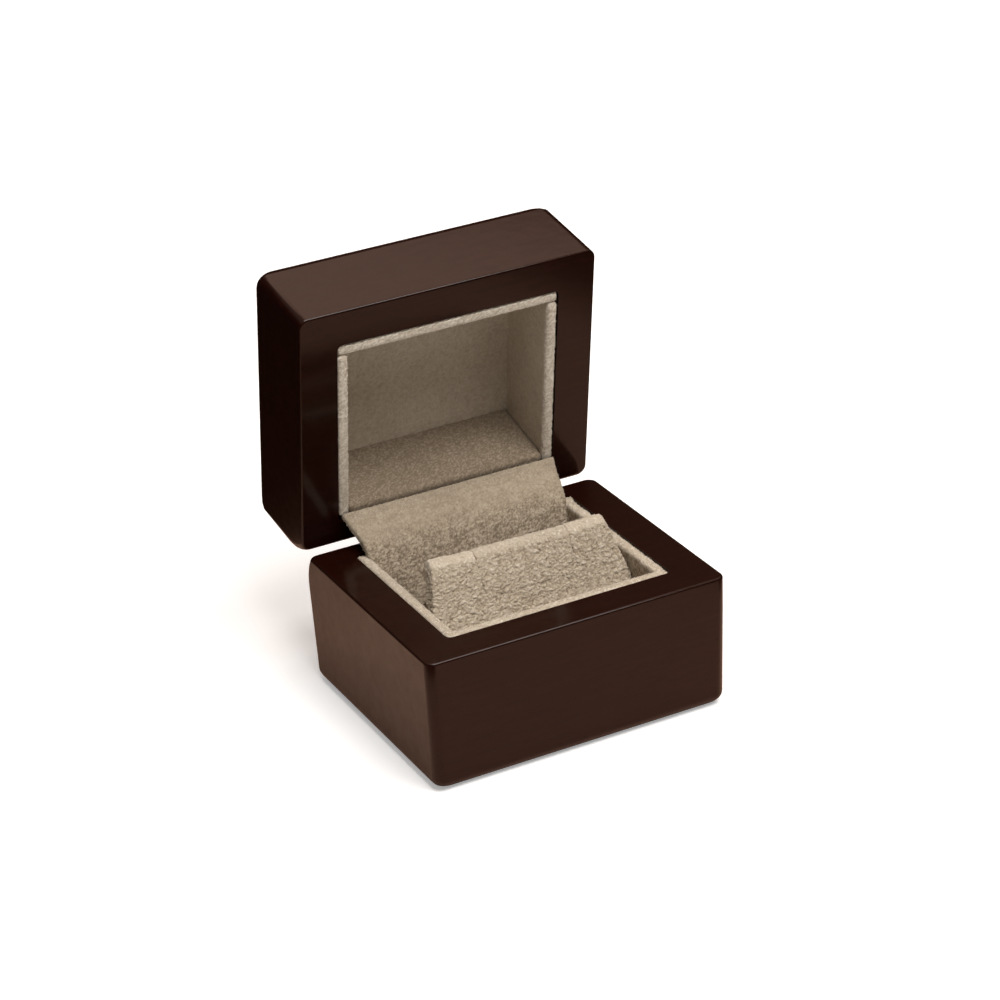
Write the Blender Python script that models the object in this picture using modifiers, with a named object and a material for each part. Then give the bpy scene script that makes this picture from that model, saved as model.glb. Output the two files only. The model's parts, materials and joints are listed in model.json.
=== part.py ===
"""Hinged wooden ring box, open: lacquered base and lid, velour linings, hinge cover flap and ring pad."""

import math

import bmesh
import bpy
from mathutils import Matrix, Vector

MM = 0.001

# Overall sizes, millimetres. X is the width, -Y the front, +Z up; the origin is under the middle of the base.
WIDTH = 65.0
DEPTH = 56.0
BASE_TOP = 28.4
LID_BOTTOM = 28.7
LID_TOP = 51.2
OPEN_ANGLE = 80.8

# Edges of the two wooden halves.
FOOT_CLEAR = 0.3
CORNER_R = 2.0
FACE_CORNER_R = 4.5
FOOT_R = 2.4
CROWN_R = 3.6
MATING_BREAK = 0.45
DRAFT = 0.4
REAR_INSET = 2.6
REAR_RISE = 7.0

# Routed wells.
WELL_X = 24.4
WELL_FRONT = -20.4
WELL_REAR = 21.0
WELL_FLOOR = 5.0
LID_CEILING = 46.4

# Linings of covered card.
LINING_OUT_X = 24.1
LINING_IN_X = 22.1
LINING_FRONT_OUT = -20.1
LINING_FRONT_IN = -18.1
LINING_TOP = BASE_TOP - 0.2
LID_LINING_TOP = LID_BOTTOM + 0.2

# Hinge.
PIVOT_Y = 26.6
PIVOT_Z = 27.1
KNUCKLE_R = 1.3
BORE_R = 0.8
PIN_R = 0.5
LEAF_HALF = 15.0
LEAF_FRONT = 20.1
LEAF_BACK = 20.7
SCREW_X = 9.0
BASE_SCREW_Z = 21.5
LID_SCREW_Z = 36.0

# Cover flap: axis of its seam with the lid closed, and the half thickness of the covered card.
SEAM_Y = 19.0
SEAM_Z = 27.95
FLAP_HALF = 0.7
FLAP_HALF_WIDTH = 21.8

# Ring pad: a sloping covered card, narrower at its crest than where it meets the side linings.
PAD_HALF_WIDTH = 21.7
PAD_TOP = BASE_TOP + 6.5
PAD_FLOOR = 6.8
PAD_THICKNESS = 2.67
CREST_FRONT = -3.7
CREST_BREAK = 0.8
FRONT_SLOPE = 0.49
CREST_HALF_WIDTH = 19.0
END_SLOPE = 0.25
SLIT_LEFT = -9.5
SLIT_RIGHT = 10.7
SLIT_HALF = 0.2
SLIT_BOTTOM = PAD_TOP - 6.9
WEDGE_HALF_WIDTH = 12.0
WEDGE_TOP = 24.0


def collection(name):
    made = bpy.data.collections.new(name)
    bpy.context.scene.collection.children.link(made)
    return made


def material(name, color, roughness, metallic=0.0, coat=0.0):
    mat = bpy.data.materials.new(name)
    mat.use_nodes = True
    shader = mat.node_tree.nodes["Principled BSDF"]
    shader.inputs["Base Color"].default_value = (*color, 1.0)
    shader.inputs["Roughness"].default_value = roughness
    shader.inputs["Metallic"].default_value = metallic
    shader.inputs["Coat Weight"].default_value = coat
    return mat


def add_mesh(name, verts, faces, mat, home, pivot=(0.0, 0.0, 0.0), smooth=True):
    """An object with its origin on the pivot, from points in millimetres."""
    mesh = bpy.data.meshes.new(name)
    shifted = [(Vector(v) - Vector(pivot)) * MM for v in verts]
    mesh.from_pydata(shifted, [], faces)
    work = bmesh.new()
    work.from_mesh(mesh)
    bmesh.ops.recalc_face_normals(work, faces=work.faces)
    work.to_mesh(mesh)
    work.free()
    if smooth:
        mesh.shade_smooth()
    obj = bpy.data.objects.new(name, mesh)
    obj.location = Vector(pivot) * MM
    if mat:
        mesh.materials.append(mat)
    home.objects.link(obj)
    return obj


def rounded_ring(z, half_x, front, rear, radius, steps=7):
    """Points round a rectangle with round corners, at height z."""
    ring = []
    corners = (
        (half_x - radius, rear - radius, 0.0),
        (-half_x + radius, rear - radius, 90.0),
        (-half_x + radius, front + radius, 180.0),
        (half_x - radius, front + radius, 270.0),
    )
    for cx, cy, start in corners:
        for i in range(steps):
            a = math.radians(start + 90.0 * i / (steps - 1))
            ring.append((cx + radius * math.cos(a), cy + radius * math.sin(a), z))
    return ring


def loft(rings):
    """Vertices and faces joining closed rings of equal length, capped at both ends."""
    count = len(rings[0])
    verts = [p for ring in rings for p in ring]
    faces = [tuple(range(count)), tuple(range((len(rings) - 1) * count, len(rings) * count))]
    for r in range(len(rings) - 1):
        for i in range(count):
            j = (i + 1) % count
            faces.append((r * count + i, r * count + j, (r + 1) * count + j, (r + 1) * count + i))
    return verts, faces


def prism(profile, x0, x1):
    """A (y, z) outline run from x0 to x1."""
    return loft([[(x, y, z) for y, z in profile] for x in (x0, x1)])


def box(x0, x1, y0, y1, z0, z1):
    return loft([[(x0, y0, z), (x1, y0, z), (x1, y1, z), (x0, y1, z)] for z in (z0, z1)])


def cylinder(axis, centre, radius, start, end, steps=28):
    """A round bar along X or Y; centre holds the other two coordinates."""
    rings = []
    for along in (start, end):
        ring = []
        for i in range(steps):
            a = 2.0 * math.pi * i / steps
            u = centre[0] + radius * math.cos(a)
            v = centre[1] + radius * math.sin(a)
            ring.append((along, u, v) if axis == "X" else (u, along, v))
        rings.append(ring)
    return loft(rings)


def cutter(name, shape, target, home, operation="DIFFERENCE"):
    tool = add_mesh(name, *shape, None, home, smooth=False)
    tool.hide_render = True
    tool.display_type = "WIRE"
    mod = target.modifiers.new(name, "BOOLEAN")
    mod.operation = operation
    mod.solver = "EXACT"
    mod.object = tool
    return tool


def bevel(obj, width, segments=2):
    mod = obj.modifiers.new("edges", "BEVEL")
    mod.width = width * MM
    mod.segments = segments
    mod.limit_method = "ANGLE"
    mod.angle_limit = math.radians(40.0)
    return obj


def auto_smooth(obj, degrees=35.0):
    """Smooth shading that keeps the crisp edges crisp."""
    mesh = obj.data
    work = bmesh.new()
    work.from_mesh(mesh)
    for edge in work.edges:
        if len(edge.link_faces) == 2 and edge.calc_face_angle() > math.radians(degrees):
            edge.smooth = False
    work.to_mesh(mesh)
    work.free()


def rear_inset(rise):
    """How far the rear face curves in, at a height below (or above) where the curve begins."""
    radius = (REAR_RISE**2 + REAR_INSET**2) / (2.0 * REAR_INSET)
    return radius - math.sqrt(radius**2 - max(rise, 0.0) ** 2)


def base_rings():
    rings = []
    half_x = WIDTH / 2.0
    half_y = DEPTH / 2.0
    for i in range(7):
        a = math.radians(90.0 * i / 6)
        inset = DRAFT + FOOT_R * (1.0 - math.sin(a))
        z = FOOT_CLEAR + FOOT_R * (1.0 - math.cos(a))
        rings.append(rounded_ring(z, half_x - inset, -half_y + inset, half_y - inset, CORNER_R + 0.3))
    curve_start = BASE_TOP - REAR_RISE
    for i in range(9):
        z = curve_start + (REAR_RISE - MATING_BREAK) * i / 8
        inset = DRAFT * (1.0 - z / BASE_TOP)
        rear = half_y - inset - rear_inset(z - curve_start)
        rings.append(rounded_ring(z, half_x - inset, -half_y + inset, rear, CORNER_R))
    for i in range(1, 5):
        a = math.radians(90.0 * i / 4)
        inset = MATING_BREAK * (1.0 - math.cos(a))
        z = BASE_TOP - MATING_BREAK * (1.0 - math.sin(a))
        rear = half_y - rear_inset(z - curve_start) - inset
        rings.append(rounded_ring(z, half_x - inset, -half_y + inset, rear, CORNER_R - inset))
    return rings


def lid_rings():
    rings = []
    half_x = WIDTH / 2.0
    half_y = DEPTH / 2.0
    curve_end = LID_BOTTOM + REAR_RISE
    for i in range(4, 0, -1):
        a = math.radians(90.0 * i / 4)
        inset = MATING_BREAK * (1.0 - math.cos(a))
        z = LID_BOTTOM + MATING_BREAK * (1.0 - math.sin(a))
        rear = half_y - rear_inset(curve_end - z) - inset
        rings.append(rounded_ring(z, half_x - inset, -half_y + inset, rear, CORNER_R - inset))
    for i in range(9):
        z = LID_BOTTOM + MATING_BREAK + (REAR_RISE - MATING_BREAK) * i / 8
        rear = half_y - rear_inset(curve_end - z)
        rings.append(rounded_ring(z, half_x, -half_y, rear, CORNER_R))
    for i in range(8):
        a = math.radians(90.0 * i / 7)
        inset = CROWN_R * (1.0 - math.cos(a))
        z = LID_TOP - CROWN_R * (1.0 - math.sin(a))
        radius = CORNER_R + (FACE_CORNER_R - CORNER_R) * math.sin(a)
        rings.append(rounded_ring(z, half_x - inset, -half_y + inset, half_y - inset, radius))
    return rings


def panel(name, shape, mat, home, pivot=(0.0, 0.0, 0.0), edge=0.45):
    """A card panel wrapped in velour, its edges rounded by the cloth."""
    return bevel(add_mesh(name, *shape, mat, home, pivot), edge, 3)


def open_up(objects, empty):
    """Hang the lid's pieces on the hinge axis and swing them open."""
    for obj in objects:
        obj.parent = empty
        obj.location = (0.0, 0.0, 0.0)
    empty.rotation_euler = (math.radians(-OPEN_ANGLE), 0.0, 0.0)


def swung(y, z, degrees=-OPEN_ANGLE):
    """A closed-lid point (y, z) with the lid turned about the hinge."""
    turn = Matrix.Rotation(math.radians(degrees), 3, "X")
    moved = turn @ Vector((0.0, y - PIVOT_Y, z - PIVOT_Z))
    return moved.y + PIVOT_Y, moved.z + PIVOT_Z


def build_base(mats, home, cutters):
    shell = add_mesh("base_shell", *loft(base_rings()), mats["wood"], home)
    cutter("cut_base_well", loft([
        rounded_ring(z, WELL_X, WELL_FRONT, WELL_REAR, 1.2, 5) for z in (WELL_FLOOR, BASE_TOP + 5.0)
    ]), shell, cutters)
    cutter("cut_foot_recess", loft([
        rounded_ring(z, 29.3, -24.8, 24.8, 3.0, 5) for z in (-2.0, 1.5)
    ]), shell, cutters)
    cutter("cut_base_mortise", prism(
        [(20.0, 26.9), (24.9, 26.9), (24.9, 25.5), (32.0, 25.5), (32.0, 32.0), (20.0, 32.0)],
        -LEAF_HALF - 0.4, LEAF_HALF + 0.4), shell, cutters)
    cutter("cut_spring_slot", box(-3.5, 3.5, 20.0, 32.0, 23.2, 32.0), shell, cutters)
    for side in (-1, 1):
        cutter("cut_base_screw", cylinder("Y", (side * SCREW_X, BASE_SCREW_Z), 1.1, 20.0, 25.0, 20),
               shell, cutters)
    cutter("cut_spring_screw", cylinder("Y", (0.0, 16.5), 1.1, 20.0, 25.0, 20), shell, cutters)
    felt = add_mesh("underside_felt", *loft([
        rounded_ring(z, 29.0, -24.5, 24.5, 2.7, 5) for z in (0.0, 1.2)
    ]), mats["felt"], home)
    auto_smooth(felt)
    panel("base_lining_left", box(-LINING_OUT_X, -LINING_IN_X, -17.8, 20.2, 5.3, LINING_TOP),
          mats["velour"], home)
    panel("base_lining_right", box(LINING_IN_X, LINING_OUT_X, -17.8, 20.2, 5.3, LINING_TOP),
          mats["velour"], home)
    panel("base_lining_front", box(-LINING_OUT_X, LINING_OUT_X, LINING_FRONT_OUT, LINING_FRONT_IN,
          5.3, LINING_TOP), mats["velour"], home)
    panel("base_lining_rear", box(-21.8, 21.8, 17.2, 19.0, 6.9, 17.2), mats["velour"], home)
    panel("base_lining_floor", box(-21.8, 21.8, -17.8, 18.9, 5.3, 6.5), mats["velour"], home, edge=0.3)
    return shell


def build_lid(mats, home, cutters):
    pivot = (0.0, PIVOT_Y, PIVOT_Z)
    pieces = []
    shell = add_mesh("lid_shell", *loft(lid_rings()), mats["wood"], home, pivot)
    tools = [
        cutter("cut_lid_well", loft([
            rounded_ring(z, WELL_X, WELL_FRONT, WELL_REAR, 1.2, 5) for z in (LID_BOTTOM - 5.0, LID_CEILING)
        ]), shell, cutters),
        cutter("cut_lid_mortise", box(-LEAF_HALF - 0.4, LEAF_HALF + 0.4, 20.0, 32.0, 24.0, 30.2),
               shell, cutters),
    ]
    for side in (-1, 1):
        tools.append(cutter("cut_lid_screw", cylinder("Y", (side * SCREW_X, LID_SCREW_Z), 1.1, 20.0, 25.0, 20),
                            shell, cutters))
    pieces.append(shell)
    side_panel = (-17.8, 19.6, LID_LINING_TOP, 46.1)
    pieces.append(panel("lid_lining_left", box(-LINING_OUT_X, -LINING_IN_X, *side_panel),
                        mats["velour"], home, pivot))
    pieces.append(panel("lid_lining_right", box(LINING_IN_X, LINING_OUT_X, *side_panel),
                        mats["velour"], home, pivot))
    pieces.append(panel("lid_lining_front", box(-LINING_OUT_X, LINING_OUT_X, LINING_FRONT_OUT,
                        LINING_FRONT_IN, LID_LINING_TOP, 46.1), mats["velour"], home, pivot))
    pieces.append(panel("lid_lining_rear", prism(
        [(17.9, LID_LINING_TOP), (19.7, LID_LINING_TOP), (17.7, 46.1), (15.9, 46.1)], -21.8, 21.8),
        mats["velour"], home, pivot))
    pieces.append(panel("lid_lining_top", box(-21.8, 21.8, -17.8, 15.5, 44.9, 46.1),
                        mats["velour"], home, pivot, 0.3))
    return pieces, tools


def build_hinge(mats, home, cutters):
    pivot = (0.0, PIVOT_Y, PIVOT_Z)
    axis = (PIVOT_Y, PIVOT_Z)
    leaf = add_mesh("hinge_leaf_base", *prism(
        [(LEAF_FRONT, 13.5), (LEAF_BACK, 13.5), (LEAF_BACK, 27.3), (25.8, 27.3), (25.8, 27.9),
         (LEAF_FRONT, 27.9)], -LEAF_HALF, LEAF_HALF), mats["brass"], home, smooth=False)
    for side in (-1, 1):
        start, end = sorted((side * 5.3, side * LEAF_HALF))
        cutter("add_base_knuckle", cylinder("X", axis, KNUCKLE_R, start, end), leaf, cutters, "UNION")
    cutter("cut_base_knuckle_gap", box(-5.3, 5.3, 24.2, 30.0, 24.0, 30.0), leaf, cutters)
    cutter("cut_base_bore", cylinder("X", axis, BORE_R, -20.0, 20.0), leaf, cutters)
    cutter("cut_leaf_window", box(-3.3, 3.3, 19.0, 22.0, 12.0, 26.6), leaf, cutters)
    for side in (-1, 1):
        cutter("cut_base_leaf_hole", cylinder("Y", (side * SCREW_X, BASE_SCREW_Z), 1.1, 19.0, 22.0, 20),
               leaf, cutters)
    lid_leaf = add_mesh("hinge_leaf_lid", *prism(
        [(LEAF_FRONT, 29.2), (24.2, 29.2), (24.2, 29.8), (LEAF_BACK, 29.8), (LEAF_BACK, 42.0),
         (LEAF_FRONT, 42.0)], -LEAF_HALF, LEAF_HALF), mats["brass"], home, pivot, smooth=False)
    tools = [
        cutter("add_lid_web", prism([(24.0, 29.2), (26.0, 29.2), (26.0, 27.4), (26.9, 27.4), (26.9, 29.8),
               (24.0, 29.8)], -4.8, 4.8), lid_leaf, cutters, "UNION"),
        cutter("add_lid_knuckle", cylinder("X", axis, KNUCKLE_R, -4.9, 4.9), lid_leaf, cutters, "UNION"),
        cutter("cut_lid_bore", cylinder("X", axis, BORE_R, -20.0, 20.0), lid_leaf, cutters),
    ]
    for side in (-1, 1):
        tools.append(cutter("cut_lid_leaf_hole",
                            cylinder("Y", (side * SCREW_X, LID_SCREW_Z), 1.1, 19.0, 22.0, 20),
                            lid_leaf, cutters))
    pin = add_mesh("hinge_pin", *cylinder("X", axis, PIN_R, -15.3, 15.3), mats["steel"], home, pivot)
    auto_smooth(pin)
    spring = add_mesh("hinge_snap_spring", *prism(
        [(20.2, 14.2), (20.6, 14.2), (20.6, 24.0), (24.4, 24.9), (25.9, 24.9), (25.9, 25.3),
         (24.3, 25.3), (20.2, 24.35)], -2.8, 2.8), mats["steel"], home, smooth=False)
    cutter("cut_spring_hole", cylinder("Y", (0.0, 16.5), 1.1, 19.0, 22.0, 20), spring, cutters)
    return lid_leaf, tools


def screw(name, x, z, mats, home, cutters, pivot=(0.0, 0.0, 0.0)):
    """A round-head screw along Y with a straight slot."""
    profile = [(0.75, 24.4), (0.75, 19.6), (1.6, 19.6), (1.6, 19.4), (1.3, 19.15)]
    rings = [[(x + r * math.cos(2.0 * math.pi * i / 24), y, z + r * math.sin(2.0 * math.pi * i / 24))
              for i in range(24)] for r, y in profile]
    obj = add_mesh(name, *loft(rings), mats["brass"], home, pivot)
    auto_smooth(obj)
    slot = cutter("cut_slot", box(x - 2.0, x + 2.0, 18.5, 19.35, z - 0.22, z + 0.22), obj, cutters)
    return obj, slot


def build_flap(mats, home):
    """The covered card that hides the hinge: a curved strip hanging from the lid's rear lining."""
    seam_y, seam_z = swung(SEAM_Y, SEAM_Z)
    line = [(seam_y, seam_z)]
    for y, z in ((24.0, 4.3), (21.2, 2.7), (18.9, 0.2), (17.5, -3.2), (16.7, -6.5), (16.2, -9.5)):
        line.append((y, BASE_TOP + z))
    points = smooth_line(line, 4)
    front = []
    back = []
    for i, (y, z) in enumerate(points):
        before = points[max(i - 1, 0)]
        after = points[min(i + 1, len(points) - 1)]
        run = Vector((after[0] - before[0], after[1] - before[1])).normalized()
        front.append((y + run.y * FLAP_HALF, z - run.x * FLAP_HALF))
        back.append((y - run.y * FLAP_HALF, z + run.x * FLAP_HALF))
    outline = front + back[::-1]
    flap = add_mesh("hinge_cover_flap", *prism(outline, -FLAP_HALF_WIDTH, FLAP_HALF_WIDTH),
                    mats["velour"], home, (0.0, seam_y, seam_z))
    return bevel(flap, 0.3)


def smooth_line(points, steps):
    """A Catmull-Rom line through the points."""
    ends = [points[0]] + list(points) + [points[-1]]
    out = []
    for i in range(1, len(ends) - 2):
        p0, p1, p2, p3 = (Vector(p) for p in ends[i - 1:i + 3])
        for k in range(steps):
            t = k / steps
            p = 0.5 * (2.0 * p1 + (p2 - p0) * t + (2.0 * p0 - 5.0 * p1 + 4.0 * p2 - p3) * t**2
                       + (3.0 * p1 - p0 - 3.0 * p2 + p3) * t**3)
            out.append((p.x, p.y))
    out.append(tuple(points[-1]))
    return out


def pad_front(z):
    """The y of the pad's sloping front face at a height."""
    return CREST_FRONT - FRONT_SLOPE * (PAD_TOP - z)


def pad_back(z):
    """The y of the pad's sloping rear face at a height; the thickness is measured along Y."""
    return pad_front(z) + PAD_THICKNESS


def pad_section(bottom):
    """The (y, z) outline of the card from a height up to its crest."""
    shoulder = PAD_TOP - CREST_BREAK
    return [(pad_front(bottom), bottom), (pad_back(bottom), bottom), (pad_back(shoulder), shoulder),
            (pad_back(PAD_TOP) - CREST_BREAK, PAD_TOP), (pad_front(PAD_TOP) + CREST_BREAK, PAD_TOP),
            (pad_front(shoulder), shoulder)]


def build_pad(mats, home, cutters):
    """A covered card sloping up from the front of the well, with a tongue cut in it to hold the ring."""
    pad = add_mesh("ring_pad_card", *prism(pad_section(PAD_FLOOR), -PAD_HALF_WIDTH, PAD_HALF_WIDTH),
                   mats["velour"], home)
    for side in (-1, 1):
        end = [(side * x, z) for x, z in (
            (CREST_HALF_WIDTH - 5.0 * END_SLOPE, PAD_TOP + 5.0), (CREST_HALF_WIDTH + 12.0 * END_SLOPE,
            PAD_TOP - 12.0), (30.0, PAD_TOP - 12.0), (30.0, PAD_TOP + 5.0))]
        cutter("cut_pad_end", loft([[(x, y, z) for x, z in end] for y in (-30.0, 30.0)]), pad, cutters)
    cutter("cut_tongue_window", box(SLIT_LEFT - SLIT_HALF, SLIT_RIGHT + SLIT_HALF, -12.0, 5.0,
           SLIT_BOTTOM - 0.4, PAD_TOP + 5.0), pad, cutters)
    auto_smooth(pad)
    tongue = add_mesh("ring_pad_tongue", *prism(pad_section(SLIT_BOTTOM + 0.2), SLIT_LEFT + SLIT_HALF,
                      SLIT_RIGHT - SLIT_HALF), mats["velour"], home,
                      (0.0, pad_front(SLIT_BOTTOM) + 1.2, SLIT_BOTTOM))
    auto_smooth(tongue)
    low = PAD_FLOOR + 0.1
    wedge = add_mesh("ring_pad_foam_wedge", *prism([
        (pad_back(low) + 0.3, low), (5.0, low), (-1.5, WEDGE_TOP), (pad_back(WEDGE_TOP) + 0.3, WEDGE_TOP),
    ], -WEDGE_HALF_WIDTH, WEDGE_HALF_WIDTH), mats["foam"], home, smooth=False)
    return pad, tongue, wedge


def main():
    for obj in list(bpy.data.objects):
        bpy.data.objects.remove(obj, do_unlink=True)
    home = collection("ring_box")
    cutters = collection("ring_box_cutters")
    cutters.hide_render = True
    mats = {
        "wood": material("lacquered_wood", (0.037, 0.014, 0.009), 0.24, coat=0.6),
        "velour": material("beige_velour", (0.47, 0.40, 0.31), 0.95),
        "brass": material("hinge_brass", (0.62, 0.47, 0.22), 0.32, 1.0),
        "steel": material("hinge_steel", (0.56, 0.56, 0.56), 0.28, 1.0),
        "felt": material("underside_felt", (0.05, 0.035, 0.03), 0.95),
        "foam": material("pad_foam", (0.55, 0.52, 0.46), 0.9),
    }
    build_base(mats, home, cutters)
    pieces, tools = build_lid(mats, home, cutters)
    lid_leaf, leaf_tools = build_hinge(mats, home, cutters)
    pieces.append(lid_leaf)
    tools += leaf_tools
    for side, label in ((-1, "left"), (1, "right")):
        screw("hinge_screw_base_" + label, side * SCREW_X, BASE_SCREW_Z, mats, home, cutters)
        made, slot = screw("hinge_screw_lid_" + label, side * SCREW_X, LID_SCREW_Z, mats, home, cutters,
                           (0.0, PIVOT_Y, PIVOT_Z))
        pieces.append(made)
        tools.append(slot)
    screw("spring_screw", 0.0, 16.5, mats, home, cutters)
    hinge_axis = bpy.data.objects.new("lid_hinge_axis", None)
    hinge_axis.location = (0.0, PIVOT_Y * MM, PIVOT_Z * MM)
    home.objects.link(hinge_axis)
    for tool in tools:
        for vertex in tool.data.vertices:
            vertex.co -= Vector((0.0, PIVOT_Y, PIVOT_Z)) * MM
    open_up(pieces + tools, hinge_axis)
    build_flap(mats, home)
    build_pad(mats, home, cutters)
    bpy.context.view_layer.update()


main()
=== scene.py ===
import itertools
import json
import math

import bmesh
import bpy
import numpy as np
from mathutils import Matrix, Vector

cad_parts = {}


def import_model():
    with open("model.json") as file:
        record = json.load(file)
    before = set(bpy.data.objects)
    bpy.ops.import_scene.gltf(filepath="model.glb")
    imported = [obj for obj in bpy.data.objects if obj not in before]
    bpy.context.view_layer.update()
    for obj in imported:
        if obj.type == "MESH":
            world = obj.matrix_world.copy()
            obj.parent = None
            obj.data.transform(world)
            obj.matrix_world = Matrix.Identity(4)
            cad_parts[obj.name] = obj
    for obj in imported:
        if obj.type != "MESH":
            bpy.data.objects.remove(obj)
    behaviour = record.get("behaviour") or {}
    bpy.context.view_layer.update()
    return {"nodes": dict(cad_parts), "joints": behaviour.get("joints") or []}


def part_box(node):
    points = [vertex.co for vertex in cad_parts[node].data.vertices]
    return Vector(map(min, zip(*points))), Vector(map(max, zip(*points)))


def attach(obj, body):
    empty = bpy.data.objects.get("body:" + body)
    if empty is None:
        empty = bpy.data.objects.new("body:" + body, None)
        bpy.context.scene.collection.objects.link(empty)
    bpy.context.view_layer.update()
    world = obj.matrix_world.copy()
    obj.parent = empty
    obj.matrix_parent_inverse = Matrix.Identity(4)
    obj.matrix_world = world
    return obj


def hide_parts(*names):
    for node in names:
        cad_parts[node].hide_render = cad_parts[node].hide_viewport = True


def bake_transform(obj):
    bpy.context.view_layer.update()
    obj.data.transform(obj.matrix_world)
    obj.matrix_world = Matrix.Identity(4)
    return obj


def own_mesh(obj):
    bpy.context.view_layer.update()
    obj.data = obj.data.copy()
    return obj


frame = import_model()

NODES = frame["nodes"]
JOINTS = {joint["name"]: joint for joint in frame["joints"]}

# View of the photograph: angles in degrees, DISTANCE and TARGET in metres, the lens in millimetres.
AZIMUTH = -26.237
ELEVATION = 26.027
ROLL = -3.457
DISTANCE = 0.63108
TARGET = (0.00604, 0.01553, 0.03447)
LENS = 113.1
SENSOR_WIDTH = 36.0

# Places read from the CAD parts. From here on, lengths are in millimetres unless it says otherwise.
MM = 0.001
SEAM = np.array(JOINTS["flap_hinge"]["pos_m"]) / MM
BASE_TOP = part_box("base_shell")[1][2] / MM
PAD_LOW, PAD_HIGH = (np.array(corner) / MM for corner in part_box("ring_pad_card"))
SLIT_LEFT, SLIT_RIGHT = (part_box("ring_pad_tongue")[k][0] / MM for k in (0, 1))
SLIT_BOTTOM = JOINTS["tongue_hinge"]["pos_m"][2] / MM
OPEN = math.radians(80.8)  # the lid's angle at rest

# The ring pad: the card and the tongue share a voxel size, a nap and a seed, so that the nap runs on.
PAD_SLOPE = 0.49  # how far the pad leans back for each millimetre up
PAD_HALF_WIDTH = 21.7
PAD_VOXEL = 0.17
PAD_CURL = 0.90  # size of the nap's crumbs
PAD_NAP_DEPTH = 0.38
PAD_SEED = 71
PAD_FIBRES = 3000
TONGUE_FOOT = 1.8  # how far the tongue's foot runs down into the card
TONGUE_WIDER = 0.19  # on each side, so that the slits stay narrow

# The nap's shade, as the velour's colours read it. The lift is a painted highlight on the rims and along
#  the pad's crest; loose fibres get a pale value, part of the same painted highlight.
NAP_MEAN = 0.72
NAP_TOP = 1.3
PAINTED_HIGHLIGHT_LIFT = 0.50
LOOSE_SHADE = 1.05

# Loose fibres.
FIBRE_LENGTH = 0.36
FIBRE_ROOT = 0.045
FIBRE_MIDDLE = 0.034
ROOT_DEPTH = 0.06
THIRD_TURN = 2.0944

# Shading of the shells: the least area of a broad flat face in square millimetres, and cosines.
BROAD = 150.0
SAME_PLANE = 0.99996
SOFT_EDGE = 0.70

WHITE = (1.0, 1.0, 1.0)
SOFT_WHITE = (1.0, 0.985, 0.97)
BOX_MIDDLE = (0.0, 0.0, 0.03)  # metres


# ---------------------------------------------------------------- noise, on arrays of points in millimetres

def gradient(ix, iy, iz, seed):
    """Three numbers from -1 to 1 for each lattice point."""
    h = (ix * 374761393 + iy * 668265263 + iz * 1440662683 + seed * 974634777) & 0xFFFFFFFF
    h = ((h ^ (h >> 15)) * 2246822519) & 0xFFFFFFFF
    h = ((h ^ (h >> 13)) * 3266489917) & 0xFFFFFFFF
    h ^= h >> 16
    return [((h >> shift) & 1023) / 511.5 - 1.0 for shift in (0, 10, 20)]


def noise(points, size, seed):
    """Gradient noise with cells of a given size, about -0.7 to 0.7."""
    q = points / size
    cell = np.floor(q).astype(np.int64)
    f = q - cell
    fade = f * f * f * (f * (f * 6.0 - 15.0) + 10.0)
    total = np.zeros(len(points))
    for dx in (0, 1):
        wx = fade[:, 0] if dx else 1.0 - fade[:, 0]
        for dy in (0, 1):
            wy = fade[:, 1] if dy else 1.0 - fade[:, 1]
            for dz in (0, 1):
                wz = fade[:, 2] if dz else 1.0 - fade[:, 2]
                gx, gy, gz = gradient(cell[:, 0] + dx, cell[:, 1] + dy, cell[:, 2] + dz, seed)
                dot = gx * (f[:, 0] - dx) + gy * (f[:, 1] - dy) + gz * (f[:, 2] - dz)
                total += wx * wy * wz * dot
    return total


def smoothstep(low, high, value):
    t = np.clip((value - low) / (high - low), 0.0, 1.0)
    return t * t * (3.0 - 2.0 * t)


def cells(points, size, seed):
    """Distance from the creases between scattered cells: 0 on a crease, about 1 inside a cell."""
    q = points / size
    home = np.floor(q).astype(np.int64)
    near = np.full(len(points), 9.0)
    second = near.copy()
    for step in itertools.product((-1, 0, 1), repeat=3):
        cell = home + step
        offset = np.stack(gradient(cell[:, 0], cell[:, 1], cell[:, 2], seed), axis=1)
        away = np.linalg.norm(cell + 0.5 + 0.45 * offset - q, axis=1)
        second = np.minimum(second, np.maximum(near, away))
        near = np.minimum(near, away)
    return second - near


def crumbs(points, size, seed):
    """Height of a long clumped nap: rounded crumbs parted by narrow creases."""
    warp = np.stack([noise(points, size * 0.9, seed + k) for k in (1, 2, 3)], axis=1)
    bent = points + warp * size * 0.75
    crowns = np.clip(cells(bent, size, seed + 4) * 1.9, 0.0, 1.0) ** 0.7
    threads = np.clip(np.abs(noise(bent, size * 0.62, seed + 7)) * 3.4, 0.0, 1.0) ** 0.6
    grain = noise(points, size * 0.26, seed + 5)
    swell = noise(points, size * 1.9, seed + 6)
    return np.clip(crowns * 0.50 + threads * 0.42 + grain * 0.50 + swell * 0.30 + 0.10, 0.0, 1.2)


def curls(points, size, seed):
    """Height of a curly nap, 0 in the creases and about 1 on the crowns of the curls."""
    warp = np.stack([noise(points, size * 1.4, seed + k) for k in (1, 2, 3)], axis=1)
    bent = points + warp * size * 0.9
    ridges = np.minimum(np.abs(noise(bent, size, seed + 4)), np.abs(noise(bent, size * 1.25, seed + 6)))
    crowns = np.clip(ridges * 6.0, 0.0, 1.0) ** 0.6
    grain = noise(points, size * 0.32, seed + 5)
    return np.clip(crowns * 0.85 + grain * 0.45 + 0.12, 0.0, 1.2)


# ---------------------------------------------------------------- meshes

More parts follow.
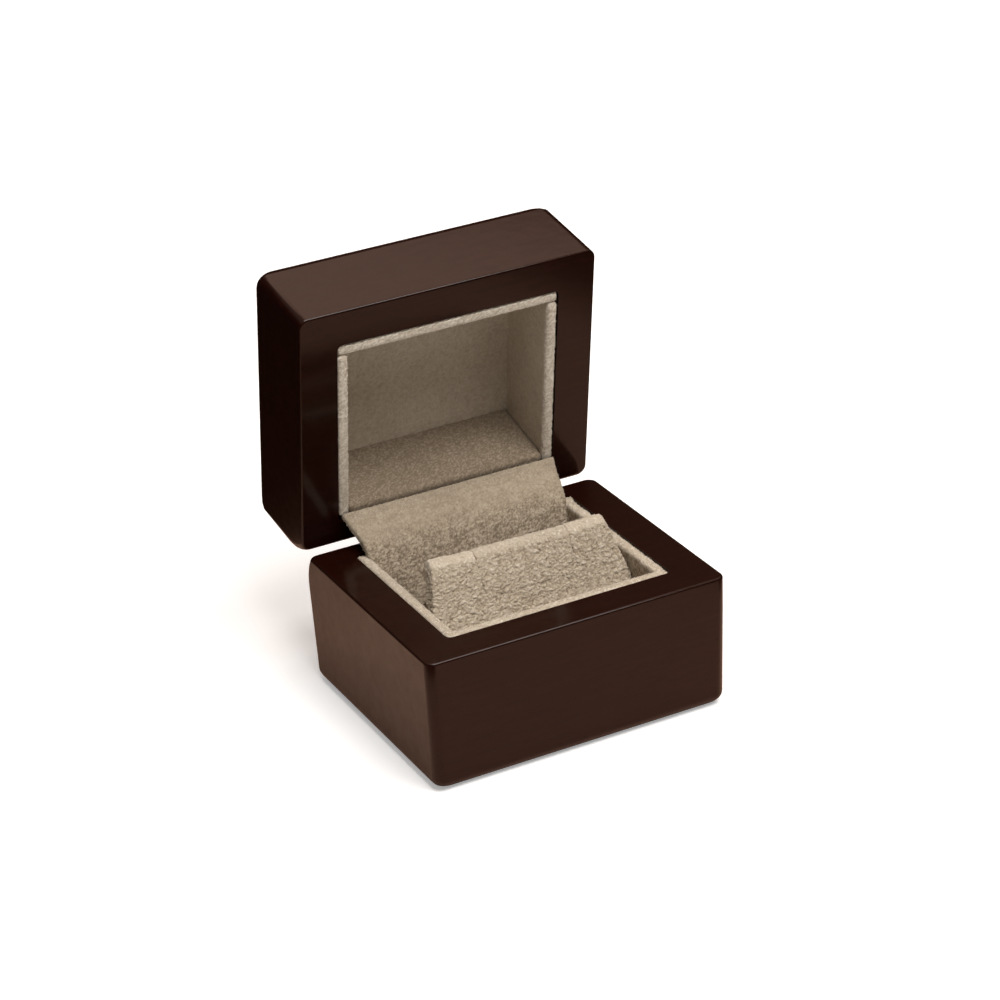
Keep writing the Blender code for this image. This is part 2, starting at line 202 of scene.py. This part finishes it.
def new_object(name, verts, faces):
    """An object whose mesh is in millimetres while it is being shaped."""
    mesh = bpy.data.meshes.new(name)
    mesh.from_pydata([tuple(v) for v in verts], [], faces)
    work = bmesh.new()
    work.from_mesh(mesh)
    bmesh.ops.recalc_face_normals(work, faces=work.faces)
    work.to_mesh(mesh)
    work.free()
    obj = bpy.data.objects.new(name, mesh)
    bpy.context.scene.collection.objects.link(obj)
    return obj


def copy_node(name, node):
    """A copy of a CAD node's mesh, in millimetres and with welded points."""
    obj = bpy.data.objects.new(name, NODES[node].data.copy())
    obj.data.transform(Matrix.Scale(1.0 / MM, 4))
    work = bmesh.new()
    work.from_mesh(obj.data)
    bmesh.ops.remove_doubles(work, verts=work.verts, dist=0.001)
    work.to_mesh(obj.data)
    work.free()
    obj.data.materials.clear()
    bpy.context.scene.collection.objects.link(obj)
    return obj


def points_of(obj):
    co = np.empty(len(obj.data.vertices) * 3, np.float32)
    obj.data.vertices.foreach_get("co", co)
    return co.reshape(-1, 3).astype(float)


def set_points(obj, points):
    obj.data.vertices.foreach_set("co", points.astype(np.float32).ravel())
    obj.data.update()


def normals_of(obj):
    normals = np.empty(len(obj.data.vertices) * 3, np.float32)
    obj.data.vertex_normals.foreach_get("vector", normals)
    return normals.reshape(-1, 3).astype(float)


def remesh(obj, voxel, soften):
    """Even quads over the whole surface, with the edges softened as cloth softens them."""
    mod = obj.modifiers.new("voxels", "REMESH")
    mod.mode = "VOXEL"
    mod.voxel_size = voxel
    smooth = obj.modifiers.new("soften", "SMOOTH")
    smooth.factor = 0.5
    smooth.iterations = soften
    graph = bpy.context.evaluated_depsgraph_get()
    made = bpy.data.meshes.new_from_object(obj.evaluated_get(graph))
    obj.modifiers.clear()
    obj.data = made
    obj.data.shade_smooth()


def loft(rings):
    """Points and faces of a closed skin over rings of equal length, capped at both ends."""
    count = len(rings[0])
    verts = [p for ring in rings for p in ring]
    faces = [tuple(range(count)), tuple(range((len(rings) - 1) * count, len(rings) * count))]
    for r in range(len(rings) - 1):
        for i in range(count):
            j = (i + 1) % count
            faces.append((r * count + i, r * count + j, (r + 1) * count + j, (r + 1) * count + i))
    return verts, faces


def unit(vectors):
    return vectors / np.linalg.norm(vectors, axis=1, keepdims=True)


def fibres(obj, count, where, seed):
    """Loose fibres of the pile: slim bent spikes, each one closed and rooted in the surface."""
    points = points_of(obj)
    weights = where(points)
    rng = np.random.default_rng(seed)
    chosen = rng.choice(len(points), count, p=weights / weights.sum())
    outward = normals_of(obj)[chosen]
    lean = unit(outward + rng.normal(0.0, 0.5, (count, 3)))
    side = unit(np.cross(lean, rng.normal(size=(count, 3))))
    other = np.cross(lean, side)
    span = FIBRE_LENGTH * rng.uniform(0.4, 1.0, (count, 1))
    root = points[chosen] - outward * ROOT_DEPTH
    middle = root + lean * span * 0.6
    tip = middle + unit(lean + rng.normal(0.0, 0.6, (count, 3))) * span * 0.4
    corners = []
    for place, radius in ((root, FIBRE_ROOT), (middle, FIBRE_MIDDLE)):
        for angle in (0.0, THIRD_TURN, 2 * THIRD_TURN):
            corners.append(place + (side * math.cos(angle) + other * math.sin(angle)) * radius)
    verts = np.stack(corners + [tip], axis=1).reshape(-1, 3)
    spike = ((2, 1, 0), (0, 1, 4, 3), (1, 2, 5, 4), (2, 0, 3, 5), (3, 4, 6), (4, 5, 6), (5, 3, 6))
    faces = [tuple(7 * i + k for k in face) for i in range(count) for face in spike]
    mesh = bpy.data.meshes.new("fibres")
    mesh.from_pydata(verts.tolist(), [], faces)
    work = bmesh.new()
    work.from_mesh(obj.data)
    work.from_mesh(mesh)
    work.to_mesh(obj.data)
    work.free()
    bpy.data.meshes.remove(mesh)
    obj.data.shade_smooth()


def nap(obj, size, depth, seed, grow=0.1, brushed=None, pale=None, loose=None, painted_shade_shift=0.0, pile=curls):
    """Raises a nap on a remeshed piece and leaves its shade in the attribute "nap"."""
    points = points_of(obj)
    normals = normals_of(obj)
    height = pile(points, size, seed)
    share = np.ones(len(points)) if brushed is None else brushed(points)
    lift = grow + depth * share * (height - 0.5) + 0.03 * noise(points, 0.25, seed + 9)
    set_points(obj, points + normals * lift[:, None])
    # The shift darkens a whole piece's velour: painted shade.
    value = NAP_MEAN + painted_shade_shift + (height - NAP_MEAN) * share
    # pale lifts the value on the rims and along the pad's crest: a painted highlight.
    if pale is not None:
        value += PAINTED_HIGHLIGHT_LIFT * pale(points)
    if loose is not None:
        count, where = loose
        fibres(obj, count, where, seed)
        value = np.append(value, np.full(len(obj.data.vertices) - len(value), LOOSE_SHADE))
    shade = obj.data.attributes.new("nap", "FLOAT", "POINT")
    shade.data.foreach_set("value", np.clip(value, 0.0, NAP_TOP).astype(np.float32))


def rim_of(normal):
    """Shares of a lining's rim, 1 on the edge that faces along the normal and 0 inside the box."""
    def share(points):
        reach = points @ np.array(normal)
        return smoothstep(reach.max() - 1.0, reach.max() - 0.3, reach)
    return share


def finish_piece(obj, body, material, nodes):
    """Back to metres, with its finish, in place of its CAD nodes; it rides on its body when the body is
    a name, and otherwise stays unattached.
    """
    obj.data.transform(Matrix.Scale(MM, 4))
    obj.data.materials.clear()
    obj.data.materials.append(material)
    if isinstance(body, str):
        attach(obj, body)
    else:
        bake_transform(obj)
    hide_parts(*nodes)


# ---------------------------------------------------------------- materials

class Shader:
    """A Principled material with a few helpers for its nodes."""

    def __init__(self, name, **values):
        self.mat = bpy.data.materials.new(name)
        self.mat.use_nodes = True
        self.tree = self.mat.node_tree
        self.main = self.tree.nodes["Principled BSDF"]
        for key, value in values.items():
            self.main.inputs[key.replace("_", " ")].default_value = value

    def node(self, kind, **values):
        made = self.tree.nodes.new(kind)
        for key, value in values.items():
            setattr(made, key, value)
        return made

    def link(self, source, target):
        self.tree.links.new(source, target)

    def place(self, scale=(1.0, 1.0, 1.0)):
        """Object coordinates in metres, scaled."""
        coords = self.node("ShaderNodeTexCoord")
        mapping = self.node("ShaderNodeMapping")
        mapping.inputs["Scale"].default_value = scale
        self.link(coords.outputs["Object"], mapping.inputs["Vector"])
        return mapping.outputs["Vector"]

    def noise(self, vector, scale, detail=3.0, roughness=0.55, distortion=0.0):
        made = self.node("ShaderNodeTexNoise")
        made.inputs["Scale"].default_value = scale
        made.inputs["Detail"].default_value = detail
        made.inputs["Roughness"].default_value = roughness
        made.inputs["Distortion"].default_value = distortion
        self.link(vector, made.inputs["Vector"])
        return made.outputs["Fac"]

    def ramp(self, value, *stops):
        made = self.node("ShaderNodeValToRGB")
        ramp = made.color_ramp
        while len(ramp.elements) < len(stops):
            ramp.elements.new(0.5)
        for element, (place, color) in zip(ramp.elements, stops):
            element.position = place
            element.color = (*color, 1.0) if hasattr(color, "__len__") else (color, color, color, 1.0)
        self.link(value, made.inputs["Fac"])
        return made.outputs["Color"]

    def mix(self, kind, factor, a, b):
        made = self.node("ShaderNodeMix", data_type="RGBA", blend_type=kind)
        for value, socket in ((factor, made.inputs[0]), (a, made.inputs[6]), (b, made.inputs[7])):
            if isinstance(value, bpy.types.NodeSocket):
                self.link(value, socket)
            elif hasattr(value, "__len__"):
                socket.default_value = (*value, 1.0)
            else:
                socket.default_value = value
        return made.outputs[2]

    def bump(self, height, strength, distance):
        made = self.node("ShaderNodeBump")
        made.inputs["Strength"].default_value = strength
        made.inputs["Distance"].default_value = distance
        self.link(height, made.inputs["Height"])
        return made.outputs["Normal"]


def lacquer():
    """Near-black red-brown stain under a clear polished lacquer, with a faint grain along the box."""
    s = Shader("lacquered_wood_finish", Roughness=0.5, IOR=1.46, Specular_IOR_Level=0.10,
               Specular_Tint=(1.0, 0.62, 0.46, 1.0), Coat_Weight=0.50, Coat_Roughness=0.12, Coat_IOR=1.46,
               Coat_Tint=(1.0, 0.93, 0.86, 1.0))
    streaks = s.noise(s.place((0.12, 1.0, 1.0)), 900.0, 6.0, 0.62, 0.6)
    pores = s.noise(s.place((0.05, 1.0, 1.0)), 3600.0, 2.0, 0.5)
    clouds = s.noise(s.place(), 45.0, 3.0)
    grain = s.ramp(streaks, (0.30, (0.0085, 0.0012, 0.0005)), (0.50, (0.0115, 0.0018, 0.0008)),
                   (0.72, (0.0145, 0.0025, 0.0011)))
    stain = s.mix("MULTIPLY", 0.5, grain, s.ramp(clouds, (0.3, 0.7), (0.7, 1.0)))
    color = s.mix("MULTIPLY", 0.2, stain, s.ramp(pores, (0.42, 0.35), (0.55, 1.0)))
    s.link(color, s.main.inputs["Base Color"])
    haze = s.ramp(s.noise(s.place(), 260.0, 4.0, 0.6), (0.35, 0.44), (0.75, 0.54))
    s.link(haze, s.main.inputs["Roughness"])
    peel = s.bump(s.noise(s.place(), 420.0, 1.0, 0.4), 0.04, 0.0002)
    s.link(peel, s.main.inputs["Normal"])
    s.link(peel, s.main.inputs["Coat Normal"])
    return s.mat


def velour(name, crease, mid, crown, palest_highlight):
    """Curly velour: painted shade in the creases, pale crowns, a painted highlight paler still on the rims
    and the pad's crest, with lightly brushed patches.
    """
    s = Shader(name, Roughness=1.0, Specular_IOR_Level=0.12, Sheen_Weight=0.22, Sheen_Roughness=0.5,
               Sheen_Tint=(1.0, 0.95, 0.86, 1.0))
    height = s.node("ShaderNodeAttribute", attribute_name="nap", attribute_type="GEOMETRY").outputs["Fac"]
    level = s.node("ShaderNodeMath", operation="DIVIDE")
    s.link(height, level.inputs[0])
    level.inputs[1].default_value = NAP_TOP
    # The nap value picks the colour: the crease colour is painted shade, the palest colour a painted
    # highlight.
    base = s.ramp(level.outputs[0], (0.0, crease), (0.35, mid), (0.77, crown), (1.0, palest_highlight))
    patches = s.ramp(s.noise(s.place(), 110.0, 3.0, 0.6), (0.3, (0.86, 0.85, 0.84)), (0.7, WHITE))
    tufts = s.ramp(s.noise(s.place(), 1150.0, 2.0, 0.6, 0.8), (0.36, (0.80, 0.785, 0.76)), (0.62, WHITE))
    brushed = s.mix("MULTIPLY", 0.5, s.mix("MULTIPLY", 0.7, base, patches), tufts)
    fibres = s.noise(s.place(), 4200.0, 2.0, 0.7)
    flecked = s.mix("MULTIPLY", 0.55, brushed, s.ramp(fibres, (0.3, 0.72), (0.65, 1.0)))
    s.link(flecked, s.main.inputs["Base Color"])
    s.link(s.bump(fibres, 0.55, 0.00012), s.main.inputs["Normal"])
    return s.mat


def metal(name, dark, light, roughness):
    s = Shader(name, Metallic=1.0, Roughness=roughness)
    cloud = s.noise(s.place(), 500.0, 5.0, 0.65)
    s.link(s.ramp(cloud, (0.3, dark), (0.7, light)), s.main.inputs["Base Color"])
    s.link(s.ramp(cloud, (0.3, roughness * 1.5), (0.7, roughness * 0.8)), s.main.inputs["Roughness"])
    brushing = s.noise(s.place((0.08, 1.0, 1.0)), 9000.0, 2.0)
    s.link(s.bump(brushing, 0.18, 0.00004), s.main.inputs["Normal"])
    return s.mat


def felt():
    s = Shader("underside_felt_finish", Roughness=1.0, Specular_IOR_Level=0.1, Sheen_Weight=0.25,
               Sheen_Tint=(0.8, 0.65, 0.6, 1.0))
    fibre = s.noise(s.place(), 2600.0, 4.0, 0.75, 1.5)
    s.link(s.ramp(fibre, (0.25, (0.016, 0.009, 0.007)), (0.75, (0.070, 0.046, 0.038))),
           s.main.inputs["Base Color"])
    s.link(s.bump(fibre, 0.8, 0.0002), s.main.inputs["Normal"])
    return s.mat


def foam():
    s = Shader("pad_foam_finish", Roughness=0.95, Specular_IOR_Level=0.2)
    pores = s.node("ShaderNodeTexVoronoi")
    pores.inputs["Scale"].default_value = 1800.0
    s.link(s.place(), pores.inputs["Vector"])
    s.link(s.ramp(pores.outputs["Distance"], (0.0, (0.20, 0.18, 0.15)), (0.5, (0.58, 0.55, 0.48))),
           s.main.inputs["Base Color"])
    s.link(s.bump(pores.outputs["Distance"], 0.7, 0.0003), s.main.inputs["Normal"])
    return s.mat


WOOD = lacquer()
# Colours: creases (painted shade), middle, crowns, and the palest one (painted highlight on rims and
# crest).
VELOUR = velour("beige_velour_finish", (0.215, 0.163, 0.112), (0.462, 0.380, 0.282), (0.610, 0.525, 0.420),
                (0.780, 0.710, 0.610))
BRASS = metal("hinge_brass_finish", (0.36, 0.25, 0.10), (0.62, 0.47, 0.22), 0.32)
STEEL = metal("hinge_steel_finish", (0.40, 0.40, 0.41), (0.62, 0.62, 0.62), 0.26)
FELT = felt()
FOAM = foam()
METALS = {"pin": STEEL, "spring": STEEL, "leaf": BRASS, "screw": BRASS}


# ---------------------------------------------------------------- pieces

def lining(node, body, seed, rim=None, voxel=0.30, size=0.60, depth=0.15, soften=4, grow=0.10, inner=1.0,
           loose=0, shape=None, curl=None, painted_shade_shift=0.0):
    """A card panel wrapped in velour, in place of its CAD solid; the nap is full on the rim, and the rim
    gets a painted highlight.
    """
    obj = copy_node(node + "_velour", node)
    if shape is not None:
        set_points(obj, shape(points_of(obj)))
    remesh(obj, voxel, soften)
    if curl is not None:
        set_points(obj, curl(points_of(obj)))

    def brushed(points):
        return inner if rim is None else inner + (1.0 - inner) * rim(points)

    nap(obj, size, depth, seed, grow, brushed, rim, (loose, rim) if loose else None, painted_shade_shift)
    finish_piece(obj, body, VELOUR, [node])


def smooth_line(points, steps):
    """A Catmull-Rom line through rows of numbers."""
    ends = np.vstack([2 * points[0] - points[1], points, 2 * points[-1] - points[-2]])
    out = []
    for i in range(1, len(ends) - 2):
        p0, p1, p2, p3 = ends[i - 1:i + 3]
        for k in range(steps):
            t = k / steps
            out.append(0.5 * (2 * p1 + (p2 - p0) * t + (2 * p0 - 5 * p1 + 4 * p2 - p3) * t**2
                              + (3 * p1 - p0 - 3 * p2 + p3) * t**3))
    out.append(points[-1])
    return np.array(out)


def cover_flap():
    """The strip that hides the hinge: it flares at its seam with the lid and dips into the well."""
    # y and z of the middle of the strip, its half width, and its half thickness
    rows = np.array([
        (SEAM[1] + 0.1, SEAM[2] + 0.1, 24.0, 0.55),
        (24.0, BASE_TOP + 4.35, 23.3, 0.70),
        (21.2, BASE_TOP + 2.70, 22.8, 0.75),
        (18.9, BASE_TOP + 0.20, 22.4, 0.75),
        (17.5, BASE_TOP - 3.20, 22.1, 0.75),
        (16.7, BASE_TOP - 6.50, 21.9, 0.75),
        (16.2, BASE_TOP - 9.50, 21.8, 0.75),
        (15.9, BASE_TOP - 12.3, 21.8, 0.70),
    ])
    line = smooth_line(rows, 6)
    rings = []
    for i, (y, z, half, thick) in enumerate(line):
        run = line[min(i + 1, len(line) - 1), :2] - line[max(i - 1, 0), :2]
        run /= np.linalg.norm(run)
        ring = []
        for x, side in ([(x, 1) for x in np.linspace(-half, half, 13)]
                        + [(x, -1) for x in np.linspace(half, -half, 13)]):
            ring.append((x, y + side * run[1] * thick, z - side * run[0] * thick))
        rings.append(ring)
    obj = new_object("hinge_cover_flap_velour", *loft(rings))
    remesh(obj, 0.24, 4)

    def brushed(points):
        return 0.40 + 0.85 * smoothstep(4.5, -1.5, points[:, 2] - BASE_TOP)

    def edges(points):
        seam = smoothstep(SEAM[2] - 1.2, SEAM[2] - 0.2, points[:, 2])
        return 0.02 + seam + smoothstep(21.2, 22.4, np.abs(points[:, 0]))

    # The flap is darkened as a whole: painted shade down in the well.
    nap(obj, 0.80, 0.22, 61, 0.06, brushed, loose=(3600, edges), painted_shade_shift=-0.30, pile=crumbs)
    finish_piece(obj, "flap", VELOUR, ["hinge_cover_flap"])
    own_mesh(obj)


def pad_swell(points):
    """Crowns the pad a little and lifts the crest towards its left end."""
    moved = points.copy()
    across = np.clip(np.abs(points[:, 0]) / PAD_HALF_WIDTH, 0.0, 1.0)
    up = np.clip((points[:, 2] - PAD_LOW[2]) / (PAD_HIGH[2] - PAD_LOW[2]), 0.0, 1.0)
    moved[:, 1] -= 0.40 * (1.0 - across**2.5) * np.sin(np.pi * up)
    crest = smoothstep(PAD_HIGH[2] - 7.0, PAD_HIGH[2], points[:, 2])
    moved[:, 2] += crest * 0.5 * smoothstep(SLIT_LEFT, SLIT_LEFT - 9.0, points[:, 0])
    return moved


def pad_brushed(points):
    """How much of the nap stands: less along the crest, where it is pressed smooth."""
    return 0.60 + 0.50 * smoothstep(PAD_HIGH[2] - 0.2, PAD_HIGH[2] - 1.4, points[:, 2])


def pad_crest_highlight(points):
    """Painted highlight: paler along the crest."""
    return 0.5 * smoothstep(PAD_HIGH[2] - 1.5, PAD_HIGH[2] - 0.3, points[:, 2])


def pad_edges(points):
    """Where the loose fibres stand: a few all over and most along the crest."""
    return 0.04 + pad_crest_highlight(points)


def pad_nap(obj):
    nap(obj, PAD_CURL, PAD_NAP_DEPTH, PAD_SEED, 0.10, pad_brushed, pad_crest_highlight, (PAD_FIBRES, pad_edges),
        pile=crumbs)


def ring_pad():
    """The card with its two slits, and the tongue between them, whose foot runs down into the card."""
    obj = copy_node("ring_pad_velour", "ring_pad_card")
    remesh(obj, PAD_VOXEL, 6)
    set_points(obj, pad_swell(points_of(obj)))
    pad_nap(obj)
    finish_piece(obj, "base", VELOUR, ["ring_pad_card"])
    tongue = copy_node("ring_pad_tongue_velour", "ring_pad_tongue")
    points = points_of(tongue)
    foot = points[:, 2] < SLIT_BOTTOM + 0.5
    points[foot, 1:] -= np.array((PAD_SLOPE, 1.0)) * TONGUE_FOOT
    points[:, 0] += np.where(points[:, 0] > 0.0, TONGUE_WIDER, -TONGUE_WIDER)
    set_points(tongue, points)
    remesh(tongue, PAD_VOXEL, 6)
    points = pad_swell(points_of(tongue))
    middle = (SLIT_LEFT + SLIT_RIGHT) / 2
    twist = np.clip((middle - points[:, 0]) / (SLIT_RIGHT - middle), -1.0, 1.0)
    points[:, 1] += 0.30 * twist * smoothstep(SLIT_BOTTOM, SLIT_BOTTOM + 5.0, points[:, 2])
    set_points(tongue, points)
    pad_nap(tongue)
    bend = [(0.0, 0.0, (SLIT_BOTTOM + rise) * MM) for rise in (-0.4, 2.4)]
    finish_piece(tongue, ("base", "tongue", *bend), VELOUR, ["ring_pad_tongue"])


def meet_front(points):
    """Runs a side lining's front end into the front lining, so that the rim turns the corner unbroken."""
    moved = points.copy()
    moved[points[:, 1] < -17.0, 1] -= 0.6
    return moved


def widen(points):
    """Runs the panel at the back of the lid into the four panels round it, so that no gap shows."""
    along = np.array((0.0, -math.cos(OPEN), math.sin(OPEN)))
    across = points @ along
    moved = points + np.outer((across - across.mean()) * 0.05, along)
    moved[:, 0] *= 1.05
    return moved


def rear_curl(points):
    """A loose bit of cloth that stands up at the rear end of the right-hand rim."""
    moved = points.copy()
    top = smoothstep(BASE_TOP - 1.0, BASE_TOP - 0.2, points[:, 2])
    tail = smoothstep(points[:, 1].max() - 2.2, points[:, 1].max() - 0.6, points[:, 1])
    moved[:, 2] += 0.12 * top * tail
    moved[:, 0] += 0.5 * top * tail
    return moved


def linings():
    base_rim = rim_of((0.0, 0.0, 1.0))
    lid_rim = rim_of((0.0, -math.sin(OPEN), -math.cos(OPEN)))
    # The base's side and front linings are darkened as a whole (painted shade), with a painted highlight on
    # their rims.
    base = {"rim": base_rim, "voxel": 0.26, "depth": 0.17, "loose": 2600, "painted_shade_shift": -0.28}
    lid = {"size": 0.46, "depth": 0.19, "inner": 0.50}
    for label, seed, curl in (("left", 11, None), ("right", 17, rear_curl)):
        lining("base_lining_" + label, "base", seed, shape=meet_front, curl=curl, **base)
        lining("lid_lining_" + label, "lid", seed + 20, lid_rim, loose=2400, **lid)
    lining("base_lining_front", "base", 11, **base)
    lining("base_lining_rear", "base", 23, voxel=0.40)
    lining("base_lining_floor", "base", 25, voxel=0.36, size=0.7, grow=0.05)
    lining("lid_lining_front", "lid", 41, lid_rim, loose=2400, **lid)
    # The lid's floor panel is darkened much more: painted shade, as if cast by the lid's top wall.
    lining("lid_lining_rear", "lid", 43, painted_shade_shift=-0.62, **lid)
    lining("lid_lining_top", "lid", 47, grow=0.20, shape=widen, **lid)


def smooth_edges(obj):
    """Shades rounded edges smooth and leaves broad flat faces flat, whatever their triangles."""
    work = bmesh.new()
    work.from_mesh(obj.data)
    work.faces.ensure_lookup_table()
    region = {}
    for first in work.faces:
        if first.index in region:
            continue
        members, queue = [], [first]
        region[first.index] = first.index
        while queue:
            face = queue.pop()
            members.append(face)
            for edge in face.edges:
                for other in edge.link_faces:
                    if other.index not in region and other.normal.dot(first.normal) > SAME_PLANE:
                        region[other.index] = first.index
                        queue.append(other)
        flat = sum(face.calc_area() for face in members) > BROAD
        for face in members:
            face.tag = flat
    normals = []
    for face in work.faces:
        for corner in face.loops:
            if face.tag:
                normals.append(face.normal.copy())
                continue
            around = [other for other in corner.vert.link_faces
                      if other.normal.dot(face.normal) > SOFT_EDGE]
            flats = [other for other in around if other.tag]
            if flats:
                normals.append(max(flats, key=lambda other: other.normal.dot(face.normal)).normal.copy())
            else:
                distinct = {region[other.index]: other.normal for other in around}
                normals.append(sum(distinct.values(), Vector()).normalized())
    work.free()
    obj.data.shade_smooth()
    obj.data.normals_split_custom_set([tuple(n) for n in normals])


def hard_pieces():
    """The shells and the hinge keep their CAD shapes; only their finishes and shading change."""
    for name in ("base_shell", "lid_shell"):
        shell = copy_node(name + "_lacquered", name)
        smooth_edges(shell)
        finish_piece(shell, name.split("_")[0], WOOD, [name])
    for name, node in NODES.items():
        found = [finish for word, finish in METALS.items() if word in name]
        if found:
            node.data.materials.clear()
            node.data.materials.append(found[0])


def soft_fillings():
    """The felt under the box, kept above the floor, and the foam behind the pad."""
    felt_piece = copy_node("underside_felt_sheet", "underside_felt")
    remesh(felt_piece, 0.45, 2)
    nap(felt_piece, 0.5, 0.05, 81, 0.0)
    points = points_of(felt_piece)
    points[:, 2] = np.maximum(points[:, 2], 0.0)
    set_points(felt_piece, points)
    finish_piece(felt_piece, "base", FELT, ["underside_felt"])
    core = copy_node("ring_pad_foam", "ring_pad_foam_wedge")
    remesh(core, 0.5, 3)
    nap(core, 0.7, 0.15, 91, -0.05)
    finish_piece(core, "base", FOAM, ["ring_pad_foam_wedge"])


# ---------------------------------------------------------------- stage

def floor():
    """White to the camera, with a little glow of its own. Glossy rays see something else, a painted
    reflection: a warm disc round the box and near black beyond it."""
    mesh = bpy.data.meshes.new("floor")
    mesh.from_pydata([(-4, -4, 0), (4, -4, 0), (4, 4, 0), (-4, 4, 0)], [], [(0, 1, 2, 3)])
    obj = bpy.data.objects.new("floor", mesh)
    bpy.context.scene.collection.objects.link(obj)
    s = Shader("studio_floor", Roughness=0.85, Specular_IOR_Level=0.0)
    distance = s.node("ShaderNodeVectorMath", operation="LENGTH")
    s.link(s.place(), distance.inputs[0])
    # painted reflection: a warm disc round the box and near black beyond it, seen only by glossy rays
    painted_reflection = s.ramp(distance.outputs["Value"], (0.086, (0.74, 0.47, 0.35)), (0.104, (0.02, 0.008, 0.004)))
    path = s.node("ShaderNodeLightPath")
    s.link(s.mix("MIX", path.outputs["Is Glossy Ray"], (0.86, 0.86, 0.86), painted_reflection),
           s.main.inputs["Base Color"])
    s.main.inputs["Emission Color"].default_value = (*WHITE, 1.0)
    glow = s.node("ShaderNodeMath", operation="MULTIPLY")
    s.link(path.outputs["Is Camera Ray"], glow.inputs[0])
    glow.inputs[1].default_value = 0.35
    s.link(glow.outputs[0], s.main.inputs["Emission Strength"])
    mesh.materials.append(s.mat)


def area_light(name, place, aim, size, power, color):
    light = bpy.data.lights.new(name, "AREA")
    light.shape = "RECTANGLE"
    light.size, light.size_y = size
    light.energy = power
    light.color = color
    obj = bpy.data.objects.new(name, light)
    obj.location = place
    obj.rotation_mode = "QUATERNION"
    obj.rotation_quaternion = (Vector(aim) - Vector(place)).to_track_quat("-Z", "Y")
    bpy.context.scene.collection.objects.link(obj)


def world():
    """White to the camera only. The box is lit by a dim dome, dark near the horizon."""
    made = bpy.data.worlds.new("studio")
    made.use_nodes = True
    bpy.context.scene.world = made
    tree = made.node_tree
    coords = tree.nodes.new("ShaderNodeTexCoord")
    height = tree.nodes.new("ShaderNodeSeparateXYZ")
    dome = tree.nodes.new("ShaderNodeValToRGB")
    path = tree.nodes.new("ShaderNodeLightPath")
    mix = tree.nodes.new("ShaderNodeMix")
    mix.data_type = "RGBA"
    for element, (place, color) in zip(dome.color_ramp.elements, ((0.46, (0.015, 0.012, 0.010)),
                                                                  (0.66, (0.30, 0.26, 0.22)))):
        element.position = place
        element.color = (*color, 1.0)
    tree.links.new(coords.outputs["Generated"], height.inputs[0])
    tree.links.new(height.outputs["Z"], dome.inputs["Fac"])
    tree.links.new(path.outputs["Is Camera Ray"], mix.inputs[0])
    tree.links.new(dome.outputs["Color"], mix.inputs[6])
    mix.inputs[7].default_value = (*WHITE, 1.0)
    tree.links.new(mix.outputs[2], tree.nodes["Background"].inputs["Color"])


def camera():
    """The photograph's view, with its slight roll."""
    azimuth, elevation, roll = (math.radians(a) for a in (AZIMUTH, ELEVATION, ROLL))
    back = Vector((math.sin(azimuth) * math.cos(elevation), -math.cos(azimuth) * math.cos(elevation),
                   math.sin(elevation)))
    right = Vector((math.cos(azimuth), math.sin(azimuth), 0.0))
    up = back.cross(right)
    rolled_right = right * math.cos(roll) + up * math.sin(roll)
    rolled_up = up * math.cos(roll) - right * math.sin(roll)
    data = bpy.data.cameras.new("photo_view")
    data.lens = LENS
    data.sensor_width = SENSOR_WIDTH
    data.clip_start, data.clip_end = 0.01, 50.0
    obj = bpy.data.objects.new("photo_view", data)
    obj.matrix_world = Matrix.Translation(Vector(TARGET) + back * DISTANCE) @ Matrix(
        (rolled_right, rolled_up, back)).transposed().to_4x4()
    bpy.context.scene.collection.objects.link(obj)
    bpy.context.scene.camera = obj


hard_pieces()
linings()
cover_flap()
ring_pad()
soft_fillings()
floor()
world()
area_light("key_softbox", (0.16, -0.55, 1.10), BOX_MIDDLE, (0.9, 0.6), 15.0, SOFT_WHITE)
area_light("top_softbox", (0.0, 0.05, 1.20), BOX_MIDDLE, (0.6, 0.4), 4.0, SOFT_WHITE)
area_light("rear_softbox", (0.409, 0.654, 0.95), (0.0, 0.03, 0.05), (1.3, 0.52), 2.75, (1.0, 0.65, 0.49))
camera()
bpy.context.scene.view_settings.view_transform = "Standard"

bpy.context.view_layer.update()
